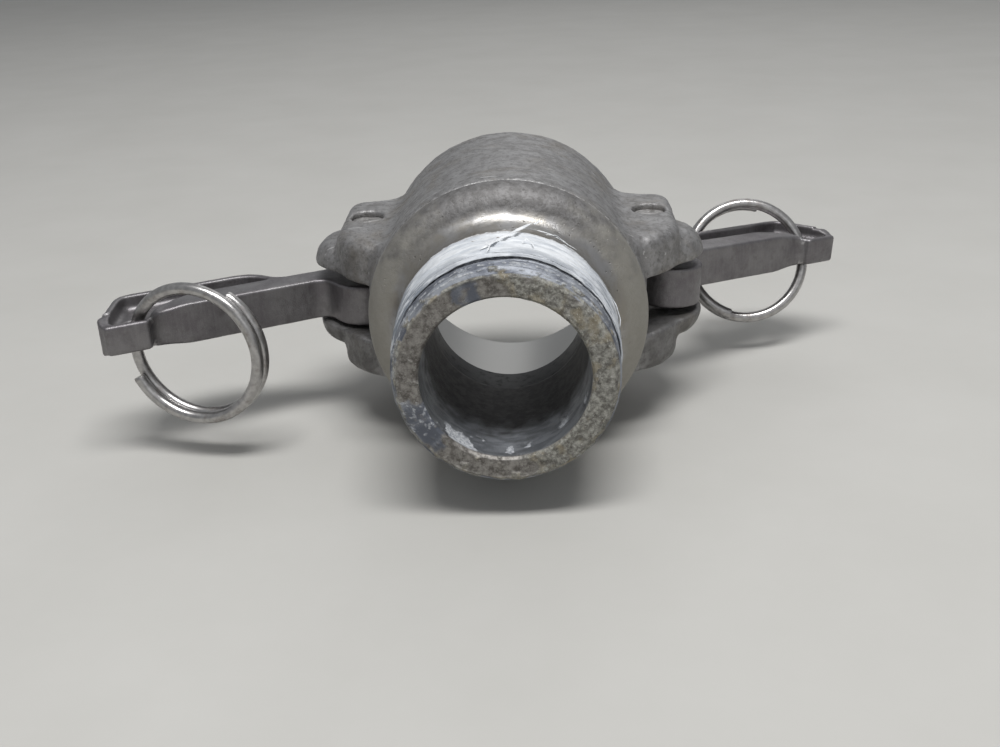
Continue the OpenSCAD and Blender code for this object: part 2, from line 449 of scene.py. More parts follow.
def cast_steel():
    """Sand-textured casting: dull grey, painted shade in its hollows and low on its sides, and bright
    where it is rubbed.
    """
    m = Shader("cast_steel", 0.8)
    grain = m.noise(0.3, 5, 0.68)
    sand = m.noise(0.75, 4, 0.6)
    lumps = m.noise(2.2, 4, 0.6)
    stains = m.noise(9, 5, 0.62, twist=0.5)
    colour = m.blend(m.steps(lumps, 0.34, 0.66), (0.21, 0.205, 0.203), (0.305, 0.3, 0.3))
    colour = m.blend(m.times(m.steps(stains, 0.47, 0.7), 0.6), colour, (0.21, 0.188, 0.16))
    colour = m.blend(m.times(m.steps(sand, 0.5, 0.34), 0.5), colour, (0.1, 0.096, 0.092))
    colour = m.blend(m.times(m.steps(grain, 0.56, 0.7), 0.4), colour, (0.47, 0.465, 0.46))
    # Painted shade in the hollows, patchy with noise
    darkening = m.times(m.mask("hollow"), m.level(m.noise(1.2, 3), 0.5, 1.6))
    colour = m.blend(m.clamped(darkening, 0.9), colour, (0.05, 0.045, 0.04))
    rubbed = m.times(m.mask("bulge"), m.steps(m.noise(0.7, 4, 0.6), 0.44, 0.6))
    colour = m.blend(m.clamped(rubbed, 0.6), colour, (0.56, 0.555, 0.55))
    scratch = m.steps(m.noise(1.1, 2, 0.5, stretch=(0.12, 1.3, 0.6)), 0.71, 0.75)
    colour = m.blend(m.times(scratch, 0.6), colour, (0.66, 0.655, 0.65))
    # Painted shade: darker towards the bottom of the sides, patchy with noise
    underside_shade = m.times(m.mask("underside_shade"), m.level(m.noise(1.6, 4, 0.6), 0.25, 1.0))
    colour = m.blend(underside_shade, colour, (0.085, 0.082, 0.078))
    turned = m.mask("turned")
    colour = m.blend(turned, colour, (0.47, 0.466, 0.45))
    roughness = m.level(turned, m.level(m.steps(lumps, 0.3, 0.7), 0.6, 0.46), 0.42)
    calm = m.plus(m.times(turned, -0.9), 1.0)
    return m.finish(colour, roughness,
                    [(m.times(lumps, calm), 0.10), (m.times(sand, calm), 0.11),
                     (m.times(grain, calm), 0.06)])


def machined_steel():
    """Turned end of the body, with dirt and lime on the thread, the face and the bore, painted shade
    deep in the bore, and painted light on the sides of the shoulder.
    """
    m = Shader("machined_steel", 0.86)
    fine = m.noise(0.22, 4, 0.65)
    patchy = m.noise(1.6, 5, 0.65)
    cloud = m.noise(6.5, 5, 0.6, twist=0.5)
    turned = m.noise(0.5, 3, 0.5, stretch=(0.12, 1.0, 0.12))
    pits = m.times(m.steps(m.cells(0.9), 0.2, 0.11), m.steps(m.noise(2.6, 2), 0.5, 0.58))
    colour = m.blend(m.steps(cloud, 0.36, 0.64), (0.35, 0.345, 0.345), (0.27, 0.25, 0.215))
    colour = m.blend(m.times(turned, 0.3), colour, (0.40, 0.395, 0.39))
    colour = m.blend(m.times(m.steps(patchy, 0.52, 0.72), 0.45), colour, (0.2, 0.19, 0.175))
    colour = m.blend(m.times(pits, 0.7), colour, (0.07, 0.065, 0.06))
    face = m.mask("face")
    face_tone = m.blend(m.steps(m.noise(1.2, 6, 0.72), 0.36, 0.64), (0.12, 0.11, 0.101),
                        (0.3, 0.287, 0.268))
    face_tone = m.blend(m.times(m.steps(m.noise(0.4, 5, 0.7), 0.54, 0.66), 0.5), face_tone,
                        (0.4, 0.39, 0.365))
    colour = m.blend(face, colour, face_tone)
    dark = m.mask("dark")
    streaks = m.plus(m.mask("streak"), m.times(m.plus(fine, -0.5), 0.5))
    dark_tone = m.blend(m.steps(streaks, 0.25, 0.8), (0.11, 0.119, 0.142), (0.29, 0.305, 0.335))
    colour = m.blend(dark, colour, dark_tone)
    bore_tone = m.blend(m.steps(streaks, 0.25, 0.75), (0.17, 0.185, 0.21), (0.31, 0.33, 0.365))
    colour = m.blend(m.times(m.mask("bore"), 0.85), colour, bore_tone)
    rough = m.mask("rough")
    sand = m.noise(0.6, 5, 0.65)
    rough_tone = m.blend(m.steps(patchy, 0.35, 0.65), (0.155, 0.15, 0.148), (0.225, 0.22, 0.219))
    rough_tone = m.blend(m.times(m.steps(sand, 0.52, 0.36), 0.5), rough_tone, (0.11, 0.105, 0.1))
    # Painted light: the shoulder lighter and warmer towards its sides and bottom than at its top
    rough_tone = m.blend(m.times(m.mask("painted_side_light"), 0.75), rough_tone, (0.37, 0.355, 0.315))
    colour = m.blend(rough, colour, rough_tone)
    crust = m.mask("crust")
    crust_tone = m.blend(m.steps(m.noise(0.85, 6, 0.72), 0.36, 0.66), (0.1, 0.094, 0.082),
                         (0.34, 0.335, 0.3))
    crust_tone = m.blend(m.times(m.steps(m.noise(2.4, 3), 0.5, 0.66), 0.55), crust_tone,
                         (0.25, 0.21, 0.135))
    crust_tone = m.blend(m.times(m.steps(m.noise(0.3, 4, 0.7), 0.58, 0.68), 0.6), crust_tone,
                         (0.5, 0.5, 0.47))
    colour = m.blend(crust, colour, crust_tone)
    lime = m.mask("lime")
    lime_tone = m.blend(m.steps(m.noise(0.5, 5, 0.7), 0.34, 0.66), (0.2, 0.213, 0.235),
                        (0.5, 0.512, 0.525))
    ragged = m.steps(m.plus(lime, m.times(m.plus(m.noise(0.5, 5, 0.7), -0.5), 1.3)), 0.25, 0.8)
    lime = m.times(lime, ragged)
    colour = m.blend(lime, colour, lime_tone)
    # Painted shade deep in the bore and on the floor of the recess
    deep_shade = m.mask("deep_shade")
    deep_shade_tone = m.blend(m.steps(patchy, 0.35, 0.65), (0.06, 0.058, 0.058), (0.13, 0.127, 0.125))
    colour = m.blend(deep_shade, colour, deep_shade_tone)
    scale = m.either(crust, lime)
    film = m.either(scale, m.either(m.times(dark, 0.45), m.times(deep_shade, 0.6)))
    bare = m.level(m.steps(patchy, 0.3, 0.7), 0.30, 0.46)
    plain = m.level(m.either(m.times(face, 0.8), rough), bare, 0.64)
    roughness = m.level(film, plain, 0.82)
    m.feed(m.surface.inputs["Metallic"],
           m.level(scale, m.level(dark, 0.86, 0.6), 0.05))
    grit = m.times(m.noise(0.42, 6, 0.72), m.plus(m.times(crust, 1.0), m.times(lime, 0.4)))
    return m.finish(colour, roughness,
                    [(turned, 0.012), (fine, 0.022), (patchy, 0.05), (pits, -0.06), (grit, 0.25),
                     (m.times(sand, rough), 0.09)])


def gasket_rubber():
    m = Shader("gasket_rubber", 0.0)
    dust = m.steps(m.noise(1.1, 5, 0.65), 0.5, 0.75)
    colour = m.blend(m.times(dust, 0.4), (0.008, 0.008, 0.009), (0.045, 0.042, 0.04))
    return m.finish(colour, m.level(dust, 0.5, 0.8), [(m.noise(0.3, 4), 0.03)])


def seal_tape():
    """White film: pulled into fine lines along its length, thin where the metal shows through."""
    m = Shader("seal_tape", 0.0)
    lines = m.noise(0.3, 4, 0.62, stretch=(0.08, 1.0, 0.08))
    cloud = m.noise(2.2, 4, 0.6, stretch=(0.5, 1.0, 0.5))
    lines = m.plus(m.times(lines, 0.45), m.times(m.mask("streak"), 0.55))
    colour = m.blend(m.steps(lines, 0.3, 0.6), (0.46, 0.485, 0.52), (0.75, 0.765, 0.78))
    colour = m.blend(m.times(m.steps(cloud, 0.52, 0.7), 0.5), colour, (0.42, 0.44, 0.47))
    thin = m.times(m.mask("thin"), m.steps(m.plus(lines, m.times(cloud, 0.7)), 0.7, 0.95))
    colour = m.blend(thin, colour, (0.16, 0.18, 0.21))
    # Dirt near the far edge of the wrap
    darkening = m.times(m.mask("darkening"), m.steps(m.noise(0.7, 5, 0.7), 0.4, 0.6))
    colour = m.blend(darkening, colour, (0.19, 0.17, 0.145))
    return m.finish(colour, m.level(cloud, 0.36, 0.58), [(lines, 0.06), (m.noise(0.8, 3), 0.05)])


def pin_steel():
    m = Shader("pin_steel", 0.9)
    marks = m.noise(0.5, 4, 0.6)
    colour = m.blend(m.steps(marks, 0.4, 0.65), (0.3, 0.29, 0.28), (0.46, 0.45, 0.44))
    colour = m.blend(m.times(m.steps(m.noise(1.4, 4), 0.5, 0.65), 0.6), colour, (0.12, 0.11, 0.1))
    return m.finish(colour, m.level(marks, 0.36, 0.55), [(marks, 0.03)])


def arm_steel():
    """Satin arm: faint purple tint, fine lines across it, painted shade in its hollows, and bright worn
    edges.
    """
    m = Shader("arm_steel", 0.88)
    grain = m.noise(0.2, 4, 0.65)
    brushed = m.noise(0.45, 4, 0.6, stretch=(1.0, 1.0, 0.12))
    cloud = m.noise(4.5, 5, 0.62)
    colour = m.blend(m.steps(cloud, 0.35, 0.65), (0.16, 0.15, 0.157), (0.215, 0.208, 0.21))
    colour = m.blend(m.times(m.steps(brushed, 0.42, 0.68), 0.2), colour, (0.29, 0.28, 0.285))
    colour = m.blend(m.times(m.steps(grain, 0.54, 0.68), 0.3), colour, (0.34, 0.33, 0.335))
    colour = m.blend(m.times(m.steps(m.noise(1.3, 4), 0.52, 0.7), 0.35), colour,
                     (0.11, 0.1, 0.1))
    # Painted shade in the hollows
    colour = m.blend(m.clamped(m.mask("hollow"), 0.9), colour,
                     (0.045, 0.042, 0.044))
    worn = m.times(m.steps(m.mask("bulge"), 0.2, 0.48), m.steps(m.noise(1.4, 4, 0.6), 0.38, 0.56))
    colour = m.blend(worn, colour, (0.56, 0.55, 0.55))
    roughness = m.level(worn, m.level(brushed, 0.38, 0.5), 0.24)
    return m.finish(colour, roughness, [(grain, 0.04), (brushed, 0.012), (cloud, 0.1)])


def ring_wire():
    m = Shader("ring_wire", 0.96)
    drawn = m.noise(0.9, 4, 0.55)
    stain = m.steps(m.noise(2.1, 5, 0.65), 0.5, 0.72)
    colour = m.blend(m.steps(drawn, 0.35, 0.65), (0.36, 0.35, 0.345), (0.47, 0.46, 0.45))
    colour = m.blend(m.times(stain, 0.6), colour, (0.17, 0.14, 0.12))
    return m.finish(colour, m.level(stain, 0.29, 0.44), [(m.noise(0.3, 3), 0.01)])


def floor_material():
    m = Shader("pale_floor", 0.0)
    colour = m.blend(m.noise(30, 4, 0.6), (0.418, 0.41, 0.385), (0.475, 0.467, 0.444))
    return m.finish(colour, 0.75, [])


# ---------------------------------------------------------------- cast body

EAR_PLAN = [(-14, -17.2), (-4.5, -16.5), (1.5, -13.2), (4, -8.6), (4, 8.6), (-1, 10.6),
            (-5, 12.4), (-14, 13.4)]


def cast_field(x, y, z):
    """The cup, its four ears, the slots and windows for the arms, the socket and the recess."""
    depth = y + BODY_LENGTH
    r = np.sqrt(x * x + z * z)
    side, along = np.abs(x) - PIN_OFFSET, depth - PIN_DEPTH
    height = np.abs(z)
    middle, half = (CUP_START + BODY_LENGTH) / 2, (BODY_LENGTH - CUP_START) / 2
    cup = both(r - CUP_RADIUS, np.abs(depth - middle) - half, 1.1)
    corner = polygon_distance(rounded_corners(EAR_PLAN, 1.5), side, along)
    from_pin = np.sqrt(side ** 2 + along ** 2)
    plan = either(corner, from_pin - LUG_RADIUS, 2.5)
    top = np.minimum(12.4 + 0.05 * along, 12.7)
    thick = both(both(plan, side - 4.4, 1.6), height - top, 2.4)
    lug = both(from_pin - LUG_RADIUS, height - LUG_HEIGHT, 5.0)
    body = either(cup, either(thick, lug, 1.0), 2.0)
    body = both(body, CUP_START - depth, 0.5)
    slot = both(height - SLOT_HALF, CUP_RADIUS - np.abs(x))
    body = without(body, slot, 0.9)
    middle, half = (WINDOW_START + WINDOW_END) / 2, (WINDOW_END - WINDOW_START) / 2
    window = both(height - SLOT_HALF, np.abs(depth - middle) - half, 0.8)
    window = both(window, WINDOW_REACH - np.abs(x))
    body = without(body, window, 0.6)
    socket = both(r - SOCKET_RADIUS, RECESS_END - depth)
    recess = both(r - RECESS_RADIUS, depth - RECESS_END)
    body = without(body, either(socket, recess), 0.4)
    return without(body, from_pin - (PIN_RADIUS + 0.03), 0.5)


def make_casting():
    """The cast part of the body, with waves and sand on its outside."""
    points, quads, normals, bulge, hollow = mesh_field(
        cast_field, (-34, -36.4, -22.7), (34, 0.2, 22.7), 0.36, 0.5)
    quads = outward(points, quads)
    r = np.hypot(points[:, 0], points[:, 2])
    outside = smooth_step(20.5, 22, r)
    wave = 0.10 * rough_noise(points, 5.0, 2, 1) + 0.055 * rough_noise(points, 1.3, 3, 5)
    points = points + normals * (outside * wave * (1 - smooth_step(0.1, 0.5, bulge)) - 0.03)[:, None]
    near_crease = np.exp(-((points[:, 1] + BODY_LENGTH - CREASE - 0.3) / 0.35) ** 2)
    bulge = np.clip(bulge + 0.9 * near_crease * outside, 0, 1)
    depth = points[:, 1] + BODY_LENGTH
    turned_wall = smooth_step(20.2, 19.6, r) * smooth_step(30.8, 31.4, depth)
    # Painted shade low on the sides and under the ears
    underside = smooth_step(3.0, -9.0, points[:, 2]) * smooth_step(20.5, 23.5, np.abs(points[:, 0]))
    masks = {"bulge": bulge, "hollow": hollow, "turned": turned_wall, "underside_shade": 0.85 * underside}
    obj = add_mesh("cast_socket_body", points, quads, masks)
    return finish_piece(obj, "coupler", "coupler_body", "cast_steel")


# ---------------------------------------------------------------- machined end and its thread

BORE, FACE, THREAD, SHOULDER = range(4)


def thread_phase(depth, angle):
    """0 at a crest of the right-handed helix, and VALLEY_PHASE at the bottom of its groove."""
    return ((depth - LEAD_IN) / PITCH - angle / (2 * math.pi)) % 1.0


def thread_radius(depth, angle):
    """Outside of the taper thread, whose groove fades in and out."""
    crest = CREST_RADIUS + depth / 32
    valley = np.clip(1.16 - np.abs(thread_phase(depth, angle) - VALLEY_PHASE) * 2.55, 0, 1)
    valley = valley ** 1.15
    fade = smooth_step(THREAD_END + 0.2, THREAD_END - 2.0, depth) * smooth_step(-0.6, 0.7, depth)
    return crest - THREAD_DEPTH * valley * fade


def turning_streak(angle, depth, around, along, seed):
    """Noise from about 0 to 1, drawn out round the axis as turning marks are."""
    place = np.stack(np.broadcast_arrays(around * np.cos(angle), around * np.sin(angle),
                                         along * depth), -1)
    noise_here = rough_noise(place.reshape(-1, 3), 1.0, 3, seed)
    return (0.5 + 0.45 * noise_here).reshape(place.shape[:-1])


def end_outline():
    """Closed outline of the machined end as [radius, depth], and the kind of each point."""
    crest_end = CREST_RADIUS + THREAD_END / 32
    fillet_centre = (crest_end + FILLET_RADIUS, THREAD_END + THREAD_RUN_OUT)
    bevel = 0.35
    outline, kinds = [], []

    def add(points, kind):
        outline.extend(points)
        kinds.extend([kind] * len(points))

    add(line((BORE_RADIUS, RECESS_FLOOR), (BORE_RADIUS, 0.45), 0.45), BORE)
    add(line((BORE_RADIUS, 0.45), (BORE_RADIUS + bevel, 0.02), 0.14), FACE)
    add(line((BORE_RADIUS + bevel, 0.0), (FACE_RADIUS - 0.2, 0.0), 0.14), FACE)
    add(line((FACE_RADIUS - 0.2, 0.0), (FACE_RADIUS, 0.12), 0.1), FACE)
    add(line((FACE_RADIUS, 0.12), (crest_end, THREAD_END), 0.105), THREAD)
    add(line((crest_end, THREAD_END), (crest_end, THREAD_END + THREAD_RUN_OUT), 0.2), SHOULDER)
    add(arc(fillet_centre, FILLET_RADIUS, 180, 113, 24), SHOULDER)
    # From the fillet to the crease, one soft cubic curve
    start, end = np.array(outline[-1]), np.array((22.4, CREASE))
    steer = start + 1.4 * np.array((0.92, 0.39)), end - (0, 2.3)
    for t in np.linspace(0.04, 1, 24):
        add([tuple((1 - t) ** 3 * start + 3 * t * (1 - t) ** 2 * steer[0]
                   + 3 * t * t * (1 - t) * steer[1] + t ** 3 * end)], SHOULDER)
    # Hidden step inside the casting, then the floor of the recess
    add([(22.32, CREASE + 0.06), (21.6, CREASE + 0.08), (21.5, 26.0), (20.4, 26.0),
         (20.3, CREASE), (20.25, RECESS_FLOOR)], SHOULDER)
    add(line((20.2, RECESS_FLOOR), (BORE_RADIUS, RECESS_FLOOR), 0.6), SHOULDER)
    return np.array(outline), np.array(kinds)


def end_dirt_and_painted_light(points, kind, angle, speck, grit):
    """Masks of dirt, scale and wear, of painted shade and of painted light, by where they lie round the
    end: 0 is right, 90 is up.
    """
    depth = points[:, 1] + BODY_LENGTH
    radius = np.hypot(points[:, 0], points[:, 2])
    turn = np.degrees(angle)
    on_face = (kind == FACE) | ((kind == THREAD) & (depth < 0.7))
    on_thread = (kind == THREAD) & (depth < BARE_THREAD_END)
    in_bore = kind == BORE

    def sector(middle, half, soft=14):
        away = np.abs((turn - middle + 180) % 360 - 180)
        return smooth_step(half + soft, half - soft, away)

    crust = on_face * smooth_step(0.0, 0.35, sector(-12, 62) * 0.95 + 0.3 * speck - 0.25)
    crust = np.maximum(crust, on_face * smooth_step(0.25, 0.5, sector(68, 26) * 0.55 + 0.35 * speck))
    rim = np.exp(-((radius - FACE_RADIUS - 0.05) / 0.28) ** 2) * on_face
    crust = np.maximum(crust, rim * smooth_step(-0.35, 0.25, speck + 0.3))
    crust = np.maximum(crust, on_thread * (depth < 1.6) * smooth_step(0.1, 0.5, speck))

    dark = on_face * np.maximum(
        smooth_step(0.5, 0.8, sector(208, 17) + 0.45 * speck),
        smooth_step(0.55, 0.85, sector(112, 8, 7) + 0.4 * speck))
    dark = np.maximum(dark, on_face * smooth_step(0.75, 1.0, sector(28, 14) + 0.5 * speck))
    dark = np.maximum(dark, on_thread)

    lime = 0.7 * on_face * smooth_step(0.75, 1.35, sector(203, 15) + 0.6 * grit)
    lime = np.maximum(lime, in_bore * (depth < 9) * smooth_step(
        0.55, 0.8, 0.75 * sector(238, 17, 12) * smooth_step(7.5, 2.5, depth) + 0.55 * speck))
    # Patches of lime in the bore: middle and half of the sector, first and last depth
    for middle, half, low, high in ((272, 4, 1.0, 3.6), (281, 4, 2.0, 4.2), (312, 5, 3.4, 8.2),
                                    (338, 3, 2.2, 6.0)):
        inside = smooth_step(low - 0.8, low + 0.6, depth) * smooth_step(high + 0.9, high - 0.5, depth)
        patch = sector(middle, half, 9) * inside * 0.9 + 0.35 * speck + 0.15 * grit
        lime = np.maximum(lime, in_bore * smooth_step(0.45, 0.75, patch))
    lime = np.maximum(lime, on_thread * smooth_step(0.35, 0.9, speck) * 0.6)
    # Two pale lines on each worn crest
    from_crest = (thread_phase(depth, angle) + 0.5) % 1.0 - 0.5
    for crest_line in (-0.12, 0.14):
        worn = np.exp(-((from_crest - crest_line - 0.03 * speck) / 0.05) ** 2)
        lime = np.maximum(lime, on_thread * (depth > 0.8) * worn * smooth_step(-0.5, 0.2, grit))

    # Painted shade: darker deeper in the bore, and on the floor of the recess
    deep_shade = in_bore * smooth_step(5.0, 13.0, depth + 2.0 * speck)
    recess_floor = (kind == SHOULDER) * (depth > RECESS_FLOOR - 0.4) * (radius < 20.5)
    deep_shade = np.maximum(deep_shade, recess_floor)
    lime = lime * (1 - deep_shade)

    streak = turning_streak(angle, depth, 4.9, 1.5, 50)
    rough = (kind == SHOULDER) * smooth_step(19.9, 21.0, depth + 0.25 * speck)
    # Painted light, from none at the top to full at the sides and bottom
    painted_side_light = smooth_step(20, 75, np.abs((turn + 90) % 360 - 180) + 14 * speck)
    return {"face": on_face, "crust": crust, "dark": dark, "lime": lime, "deep_shade": deep_shade,
            "streak": streak, "bore": in_bore, "rough": rough, "painted_side_light": painted_side_light}


def make_machined_end():
    """One closed surface: bore, face, thread, fillet, shoulder and the floor of the recess."""
    steps = 420
    outline, kinds = end_outline()
    points = lathe(outline, steps)
    kind = np.repeat(kinds, steps)
    angle = np.tile(np.arange(steps) * 2 * math.pi / steps, len(outline))
    depth = points[:, 1] + BODY_LENGTH
    radius = np.hypot(points[:, 0], points[:, 2])
    bevel = FACE_RADIUS + 0.98 * np.maximum(depth - 0.12, 0)
    wanted = np.minimum(thread_radius(depth, angle), bevel)
    cut = np.where(kind == THREAD, wanted / np.maximum(radius, 1), 1)
    points[:, 0] *= cut
    points[:, 2] *= cut

    # The crust stands a little proud, and the worn thread is uneven
    speck = rough_noise(points, 1.7, 3, 20)
    grit = rough_noise(points, 0.55, 3, 30)
    masks = end_dirt_and_painted_light(points, kind, angle, speck, grit)
    radius = np.hypot(points[:, 0], points[:, 2])
    lift = masks["face"] * masks["crust"] * (0.10 + 0.16 * np.clip(speck + 0.4 * grit, -0.3, 1))
    points[:, 1] -= np.where(kind == FACE, lift - 0.03, 0)
    on_thread = (kind == THREAD) & (depth < BARE_THREAD_END)
    out = on_thread * (0.05 * speck + 0.03 * grit) - masks["bore"] * 0.07 * np.clip(masks["lime"], 0, 1)
    swell = 1 + out / np.maximum(radius, 1)
    points[:, 0] *= swell
    points[:, 2] *= swell
    quads = outward(points, grid_faces(len(outline), steps, close_rows=True))
    obj = add_mesh("machined_thread_end", points, quads, masks)
    return finish_piece(obj, "coupler", "coupler_body", "cast_steel", "machined_steel")


# ---------------------------------------------------------------- gasket and pins

def make_gasket():
    """A flat rubber ring with rounded edges, its face a little dished."""
    inner, outer, edge = 12.42, 19.85, 0.35
    outline = []
    for centre, start in (((outer - edge, RECESS_FLOOR + edge), 270),
                          ((outer - edge, GASKET_END - edge), 0),
                          ((inner + edge, GASKET_END - edge), 90),
                          ((inner + edge, RECESS_FLOOR + edge), 180)):
        outline += arc(centre, edge, start, start + 90, 6)
    outline = outline[:12] + [(16.6, GASKET_END - 0.12)] + outline[12:]
    steps = 160
    points = lathe(outline, steps)
    points[:, 1] += 0.05 * noise(points, 6.0, 3)
    quads = outward(points, grid_faces(len(outline), steps, close_rows=True))
    return finish_piece(add_mesh("gasket_seal", points, quads), "coupler", "gasket",
                        "gasket_rubber")


def make_pin(side, name):
    """A drawn rod, its ends struck over so that each meets the sloping top of its ear."""
    half, radius = 11.85, PIN_RADIUS - 0.02
    ring = [(radius, half - 0.55), (radius - 0.06, half - 0.3), (radius - 0.3, half - 0.08),
            (radius - 0.8, half), (radius - 1.6, half - 0.05), (0.7, half - 0.1), (0.02, half - 0.1)]
    outline = [(r, -h) for r, h in reversed(ring)]
    outline += [(radius, h) for h in np.linspace(-half + 1.5, half - 1.5, 18)] + ring
    steps = 64
    points = lathe(outline, steps, "Z")
    tilt = smooth_step(half - 1.2, half - 0.4, np.abs(points[:, 2]))
    points[:, 2] += np.sign(points[:, 2]) * tilt * (-0.11 * points[:, 1] + 0.05 * noise(points, 1.1, 4))
    points += (side * PIN_OFFSET, PIN_DEPTH - BODY_LENGTH, 0)
    quads = outward(points, grid_faces(len(outline), steps, close_rows=True))
    return finish_piece(add_mesh(name + "_rod", points, quads), "coupler", name, "pin_steel")


# ---------------------------------------------------------------- sealing tape

def tape_shell(name, start, end, lift, thickness, seed, ragged):
    """One closed wrap of film that follows the thread softly, with a ragged far edge."""
    steps, rows = 720, 46
    angle = np.arange(steps) * 2 * math.pi / steps
    rim = np.stack([np.cos(angle) * 17, np.sin(angle) * 17, np.zeros(steps)], 1)
    low = start + 0.10 * rough_noise(rim, 6.0, 3, seed)
    high = end + ragged * rough_noise(rim, 2.6, 4, seed + 3)
    high = np.minimum(high, THREAD_END + 0.25)
    share = np.linspace(0, 1, rows)[:, None]
    depth = low + (high - low) * share
    crest = CREST_RADIUS + depth / 32
    dip = np.exp(-((thread_phase(depth, angle) - VALLEY_PHASE) / 0.2) ** 2)
    place = np.stack([np.cos(angle) * crest, np.sin(angle) * crest, depth], -1).reshape(-1, 3)
    crinkle = rough_noise(place * (1, 1, 3.2), 1.6, 3, seed + 9).reshape(rows, steps)
    fine = noise(place * (0.35, 0.35, 5), 1.0, seed + 13).reshape(rows, steps)
    edge = np.minimum(share, 1 - share)
    curl = smooth_step(0.06, 0.0, 1 - share) * 0.22 * np.clip(crinkle, 0, 1)
    outer = crest + lift - 0.22 * dip + 0.07 * crinkle + 0.03 * fine + curl
    outer = np.where(edge < 0.002, outer - thickness * 0.5, outer)
    inner = np.minimum(outer - thickness, crest + 0.1)

    def spin(radius):
        return np.stack([radius * np.cos(angle), depth - BODY_LENGTH, radius * np.sin(angle)],
                        -1).reshape(-1, 3)

    inside = spin(inner).reshape(rows, steps, 3)[::-1].reshape(-1, 3)
    points = np.vstack([spin(outer), inside])
    quads = outward(points, grid_faces(2 * rows, steps, close_rows=True))
    turn = np.degrees(angle)
    away = np.abs((turn - 96 + 180) % 360 - 180)
    # Dirt near the far edge of the wrap, most near the top
    darkening = smooth_step(0.8, 1.0, share) * (0.35 + 0.65 * smooth_step(22, 8, away))
    side = smooth_step(28, 78, np.abs((turn - 88 + 180) % 360 - 180))
    thin = np.clip(0.25 + 0.75 * side + 0.5 * smooth_step(0.3, 0.0, share), 0, 1)
    streak = turning_streak(angle, depth, 4.4, 1.7, seed + 17)
    masks = {"darkening": np.vstack([darkening, darkening]).ravel(), "thin": np.vstack([thin, thin]).ravel(),
             "streak": np.vstack([streak, streak[::-1, ::-1]]).ravel()}
    return add_mesh(name, points, quads, masks)


def tape_wisp(name, path, width, seed):
    """A thin twisted shred of film along a path of [angle, depth, height above the crest]."""
    path = np.array(path, float)
    t = np.linspace(0, 1, 70)
    knots = np.linspace(0, 1, len(path))
    turn, depth, height = (np.interp(t, knots, path[:, i]) for i in range(3))
    for values in (turn, depth, height):
        values[1:-1] = (values[:-2] + 2 * values[1:-1] + values[2:]) / 4
    radius = CREST_RADIUS + depth / 32 + 0.42 + height
    a = np.radians(turn)
    centre = np.stack([radius * np.cos(a), depth - BODY_LENGTH, radius * np.sin(a)], 1)
    along = np.gradient(centre, axis=0)
    along /= np.linalg.norm(along, axis=1)[:, None]
    up = np.stack([np.cos(a), 0 * a, np.sin(a)], 1)
    across = np.cross(along, up)
    across /= np.linalg.norm(across, axis=1)[:, None]
    up = np.cross(across, along)
    roll = 0.7 * noise(centre, 2.2, seed)
    across, up = (across * np.cos(roll)[:, None] + up * np.sin(roll)[:, None],
                  up * np.cos(roll)[:, None] - across * np.sin(roll)[:, None])
    taper = np.clip(np.minimum(t, 1 - t) * 9, 0.12, 1) * (1 + 0.35 * noise(centre, 1.5, seed + 2))
    rows = []
    for w, h in ((-1, 0.2), (0, -0.25), (1, 0.2), (1, 0.05), (0, -0.4), (-1, 0.05)):
        rows.append(centre + across * (w * width / 2 * taper)[:, None]
                    + up * (h * width * 0.45 * taper)[:, None])
    points = np.stack(rows, 1).reshape(-1, 3)
    quads = grid_faces(len(t), 6)
    faces = [list(q) for q in outward(points, quads)]
    last = (len(t) - 1) * 6
    faces += [[0, 1, 4, 5], [1, 2, 3, 4], [last + 5, last + 4, last + 1, last],
              [last + 4, last + 3, last + 2, last + 1]]
    masks = {"darkening": np.full(len(points), 0.06), "streak": np.full(len(points), 0.6)}
    obj = add_mesh(name, points, faces, masks)
    fix_normals(obj)
    return obj


def fix_normals(obj):
    """Turns every face outwards, on a mesh with caps."""
    bm = bmesh.new()
    bm.from_mesh(obj.data)
    bmesh.ops.recalc_face_normals(bm, faces=bm.faces)
    bm.to_mesh(obj.data)
    bm.free()


def make_tape():
    """Two wraps of tape, and shreds of it lying on them."""
    pieces = [
        tape_shell("seal_tape_under_wrap", 5.35, 12.6, 0.20, 0.10, 40, 0.2),
        tape_shell("seal_tape_top_wrap", 6.55, 16.0, 0.34, 0.12, 60, 0.42),
    ]
    wisps = (
        ([(101, 7.6, 0.1), (96, 9.0, 0.22), (89, 11.8, 0.32), (82, 14.6, 0.6), (77, 16.4, 1.1)], 0.55),
        ([(76, 16.2, 1.1), (74.5, 16.9, 1.2), (73.5, 17.5, 1.5)], 0.35),
        ([(97, 6.0, 0.2), (96, 8.3, 0.25), (98, 9.8, 0.3), (93, 10.3, 0.25)], 0.22),
        ([(81, 9.6, 0.15), (79, 11.2, 0.35), (76.5, 10.4, 0.3), (75, 8.9, 0.15)], 0.2),
        ([(88, 15.6, 0.1), (78, 16.3, 0.25), (66, 16.4, 0.3), (56, 16.0, 0.15)], 0.3),
        ([(70, 15.2, 0.3), (64, 16.5, 0.45), (58, 15.4, 0.3), (52, 15.9, 0.2)], 0.28),
        ([(28, 13.0, 0.1), (22, 11.2, 0.4), (17, 9.7, 0.45), (14, 8.8, 0.1)], 0.5),
    )
    for i, (path, width) in enumerate(wisps):
        pieces.append(tape_wisp(f"seal_tape_shred_{i + 1}", path, width, 80 + i))
    for obj in pieces:
        finish_piece(obj, "coupler", "thread_seal_tape", "seal_tape")


# ---------------------------------------------------------------- arms and rings

